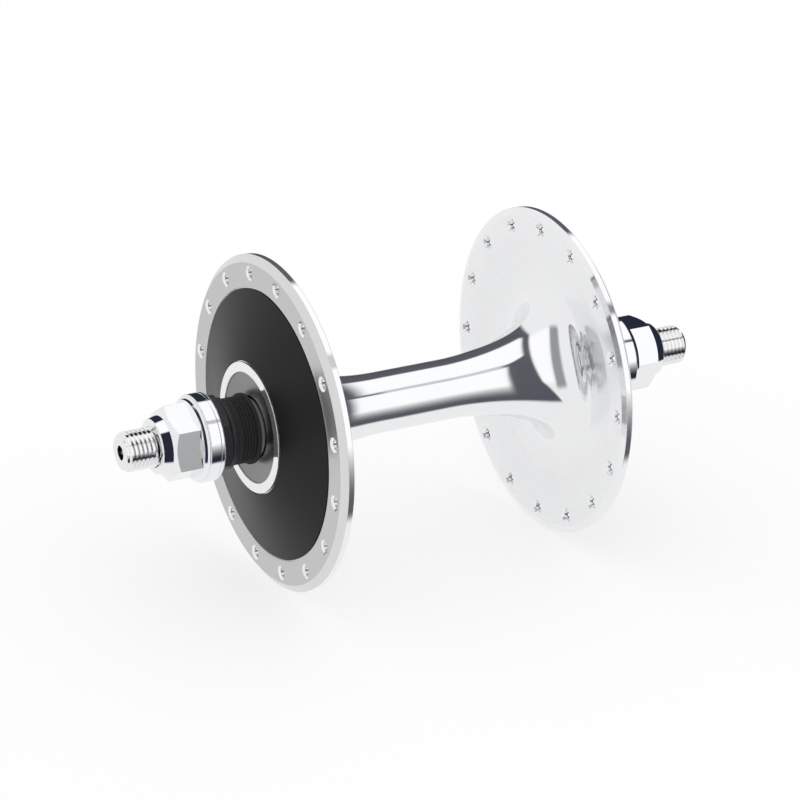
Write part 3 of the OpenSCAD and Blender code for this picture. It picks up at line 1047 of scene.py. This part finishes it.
class HUB_OT_dust_caps(HubOperator, bpy.types.Operator):
    """Presses the dust caps"""

    bl_idname = "hub.dust_caps"
    bl_label = "Dust caps"

    def execute(self, context):
        sizes = context.scene.hub_shell_sizes
        low = start("dust_cap_right")
        outer = radius("dust_cap_right")
        edge_station = reach("hub_shell") - sizes.cap_drop
        hole_station = edge_station - sizes.cap_dish
        wall = sizes.cap_thickness
        slope = sizes.cap_dish / (outer - sizes.cap_hole)
        collar = sizes.cap_hole + wall
        skirt = outer - wall
        soft = wall / 3
        outline = rounded([
            (outer, low, 0),
            (outer, edge_station, soft),
            (sizes.cap_hole, hole_station, soft),
            (sizes.cap_hole, hole_station - sizes.cap_collar, 0),
            (collar, hole_station - sizes.cap_collar, 0),
            (collar, hole_station + wall * slope - wall, 0),
            (skirt, edge_station - wall * slope - wall, 0),
            (skirt, low, 0),
        ])
        for side, sign in SIDES.items():
            piece(spun(outline, sign), f"cap_{side}", "hub", f"dust_cap_{side}",
                  "grey_cap")
        return {"FINISHED"}


class HUB_OT_covers(HubOperator, bpy.types.Operator):
    """Forms the flange covers"""

    bl_idname = "hub.covers"
    bl_label = "Flange covers"

    def execute(self, context):
        sizes = context.scene.hub_shell_sizes
        slope = math.tan(sizes.web_angle)
        low = start("flange_cover_right")
        outer = radius("flange_cover_right")
        inner = radius("dust_cap_right") + sizes.lip_width + sizes.cover_gap
        wall = sizes.cover_thickness
        height = (outer - inner) * slope
        soft = wall / 3
        outline = rounded([
            (outer, low, 0),
            (outer, low + wall, soft),
            (inner, low + height + wall, soft),
            (inner, low + height, 0),
        ])
        for side, sign in SIDES.items():
            piece(spun(outline, sign), f"cover_{side}", "hub", f"flange_cover_{side}",
                  "satin_cover")
        return {"FINISHED"}


class HUB_OT_bearings(HubOperator, bpy.types.Operator):
    """Gives the cups, cones and balls inside the hub their finish"""

    bl_idname = "hub.bearings"
    bl_label = "Bearings"

    def execute(self, context):
        steel = bpy.data.materials["race_steel"]
        for side in SIDES:
            for kind in ("bearing_cup", "ball_set", "cone"):
                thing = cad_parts[f"{kind}_{side}"]
                thing.data.materials.clear()
                thing.data.materials.append(steel)
        return {"FINISHED"}


class HUB_OT_studio(HubOperator, bpy.types.Operator):
    """Sets up the floor, the light and the camera"""

    bl_idname = "hub.studio"
    bl_label = "Studio"

    def execute(self, context):
        scene = context.scene
        studio = scene.hub_studio
        studio_world(scene, studio)
        pale_floor(studio)
        place_camera(scene, studio)
        scene.view_settings.view_transform = "Standard"
        return {"FINISHED"}


def studio_world(scene, studio):
    """Even white light. Reflections show lamps, pale walls and a dark room instead.

    A direction is told in degrees: its turn about the axle, up from +X, and its lean
    towards +Y. Each patch is a mask over the two.
    """
    world = bpy.data.worlds.new("studio_white")
    world.use_nodes = True
    scene.world = world
    tree = world.node_tree
    direction = Shade(tree).node("ShaderNodeTexCoord", {}, {}, "Generated")
    x, y, z = direction.parts()
    degrees = 180 / math.pi
    around = z.math("ARCTAN2", z, x) * degrees
    lean = y.math("ARCSINE", y) * degrees

    # The pale side ends at an edge. It leans more as the turn goes on, and does so faster
    # below 0 and past 120 degrees.
    edge = lean - (around * 0.09 - 19 + around.math("MINIMUM", around) * 0.16
                   + (around - 120).math("MAXIMUM", around - 120) * 0.25)
    past_edge = rise(edge, -1.5, 1.5)

    # The lamps: one ahead, one overhead with a corner cut off, a long one that arches
    # over the pale side up to its edge, a spill that fades out below the first, and a
    # dimmer strip between the first two
    top = fall(lean, 39, 47)
    ahead = band(around, 2, 56, 3) * rise(lean, 1, 4) * top
    overhead = (band(around, 63, 127, 4) * rise(edge, 4, 7) * fall(lean, 33, 43)
                * rise(lean + around * 0.8, 50, 55))
    arch = band(around, -6, 116, 6) * rise(lean, -34, -29) * (1 - past_edge)
    glow = rise(around, -38, 2, "LINEAR")
    spill = glow * glow * fall(around, 10, 40) * rise(lean, 0, 5) * top
    between = band(around, 53, 67, 3) * rise(lean, 3, 7) * fall(lean, 26, 32)
    lamps = largest(ahead, overhead, arch, spill, between * 0.55)

    # The dark room: past that edge, in a patch behind the hub, and a greyer band along
    # the outside of the arch
    beyond = rise(around, -55, -45) * past_edge
    behind = fall(around, -179, -150) * rise(lean, 10, 16)
    outside = band(around, -20, 118, 8) * rise(lean, -49, -43) * fall(lean, -34, -29)
    room = largest(beyond, behind, outside * 0.72)

    surround = tinted(room, scaled(WHITE, studio.wall_tone), studio.room)
    mirrored = tinted(lamps, surround, (studio.softbox,) * 3)
    glossy = direction.node("ShaderNodeLightPath", {}, {}, "Is Glossy Ray")
    seen = tinted(glossy, scaled(WHITE, studio.daylight), mirrored)
    link(seen, tree.nodes["Background"], "Color")


def pale_floor(studio):
    """A wide plain floor under the flanges."""
    bm = bmesh.new()
    bmesh.ops.create_grid(bm, x_segments=1, y_segments=1, size=FLOOR_HALF_WIDTH)
    floor = as_object(bm, "floor")
    for vertex in floor.data.vertices:
        vertex.co.z = CAD_BOX[0][2] - FLOOR_GAP
    shader, place = blank("floor_white", {"Roughness": 0.9, "Specular IOR Level": 0.0,
                                          "Emission Strength": 1.0})
    camera_sees = place.node("ShaderNodeLightPath", {}, {}, "Is Camera Ray")
    link(tinted(camera_sees, scaled(WHITE, studio.floor_white),
                scaled(WHITE, studio.shadow)), shader, "Base Color")
    link(tinted(camera_sees, scaled(WHITE, 0), scaled(WHITE, 1 - studio.shadow)),
         shader, "Emission Color")
    floor.data.materials.append(bpy.data.materials["floor_white"])
    floor.visible_glossy = False


def place_camera(scene, studio):
    """The camera, where the photograph was taken from."""
    data = bpy.data.cameras.new("camera")
    data.lens = studio.lens
    data.sensor_width = SENSOR_WIDTH
    camera = bpy.data.objects.new("camera", data)
    scene.collection.objects.link(camera)
    look = (Euler((math.pi / 2 - studio.elevation, 0, studio.azimuth)).to_matrix()
            @ Matrix.Rotation(studio.roll, 3, "Z"))
    camera.matrix_world = Matrix.Translation(studio.place) @ look.to_4x4()
    scene.camera = camera


STEPS = (HUB_OT_finishes, HUB_OT_shell, HUB_OT_axle, HUB_OT_axle_nuts, HUB_OT_nut_washers,
         HUB_OT_locknuts, HUB_OT_spacers, HUB_OT_seals, HUB_OT_dust_caps, HUB_OT_covers,
         HUB_OT_bearings, HUB_OT_studio)


class HUB_PT_panel(bpy.types.Panel):
    """Lists the steps that build the hub"""

    bl_label = "Front hub"
    bl_idname = "HUB_PT_panel"
    bl_space_type = "VIEW_3D"
    bl_region_type = "UI"
    bl_category = "Front hub"

    def draw(self, context):
        for step in STEPS:
            self.layout.operator(step.bl_idname)


GROUPS = {"hub_shell_sizes": ShellSizes, "hub_axle_sizes": AxleSizes,
          "hub_finishes": HubFinishes, "hub_studio": StudioSettings}


def register():
    for name, group in GROUPS.items():
        bpy.utils.register_class(group)
        setattr(bpy.types.Scene, name, bpy.props.PointerProperty(type=group))
    for step in STEPS:
        bpy.utils.register_class(step)
    bpy.utils.register_class(HUB_PT_panel)


def unregister():
    bpy.utils.unregister_class(HUB_PT_panel)
    for step in reversed(STEPS):
        bpy.utils.unregister_class(step)
    for name, group in GROUPS.items():
        delattr(bpy.types.Scene, name)
        bpy.utils.unregister_class(group)


def main():
    """Builds the hub step by step."""
    register()
    for step in STEPS:
        family, name = step.bl_idname.split(".")
        getattr(getattr(bpy.ops, family), name)()


if __name__ == "__main__":
    main()
